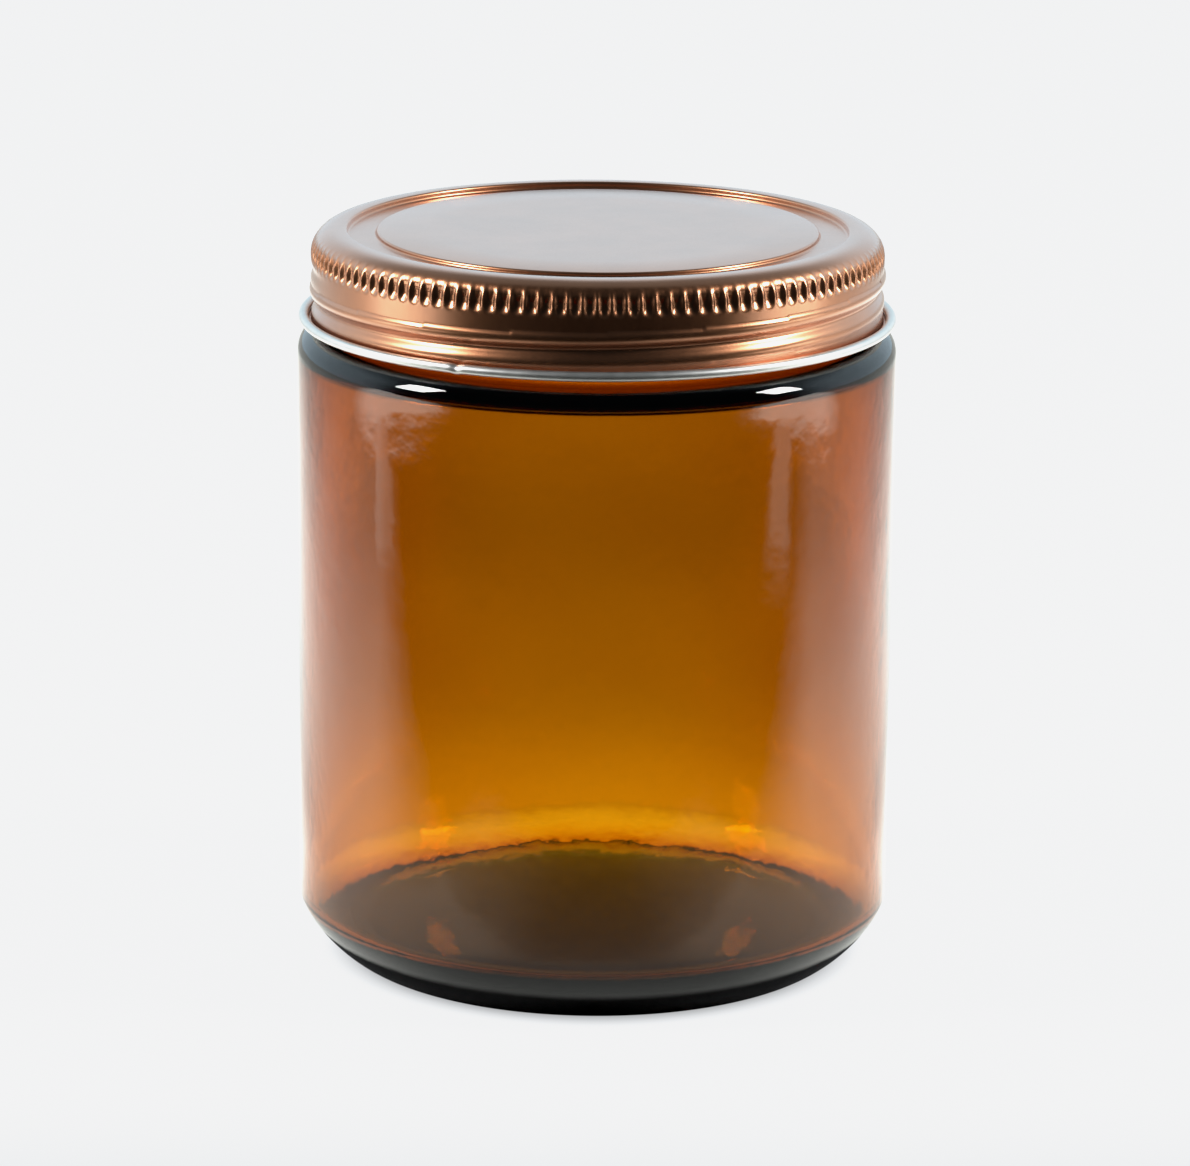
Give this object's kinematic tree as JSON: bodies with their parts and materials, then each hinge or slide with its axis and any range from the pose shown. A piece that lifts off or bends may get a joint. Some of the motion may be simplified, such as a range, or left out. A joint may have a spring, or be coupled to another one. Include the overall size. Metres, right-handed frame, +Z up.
{
  "type": "apothecary jar",
  "caption": "Straight-sided amber glass jar with a short threaded neck and a one-piece metal screw lid with a fluted grip band and a lined top.",
  "frame": {"origin": "centre of the ring that the jar stands on", "axes": "+Z up along the axis of the jar and the lid; +X and +Y level. The thread is the only feature that isn't round."},
  "size_m": [0.0734, 0.0734, 0.0912],
  "materials": {
    "amber_glass": "clear amber glass, glossy, slightly rippled",
    "lid_lacquer": "satin copper-coloured lacquer on tinplate, with a bare metal rolled edge",
    "liner_board": "matte pulp board",
    "liner_film": "satin white facing"
  },
  "bodies": {
    "jar": {"glass_jar": "amber_glass"},
    "liner": {"liner_board": "liner_board", "liner_film": "liner_film"},
    "lid": {"lid_shell": "lid_lacquer"}
  },
  "joints": [
    {"name": "lid_rise", "type": "slide", "parent": "jar", "child": "liner", "axis": [0, 0, 1], "range_m": [0, 0.0128]},
    {"name": "lid_turn", "type": "hinge", "parent": "liner", "child": "lid", "pos_m": [0, 0, 0.0911], "axis": [0, 0, 1], "range_deg": [0, 1080]}
  ],
  "couplings": [
    {"joint": "lid_rise", "follows": "lid_turn", "m_per_rad": 0.00067375}
  ]
}
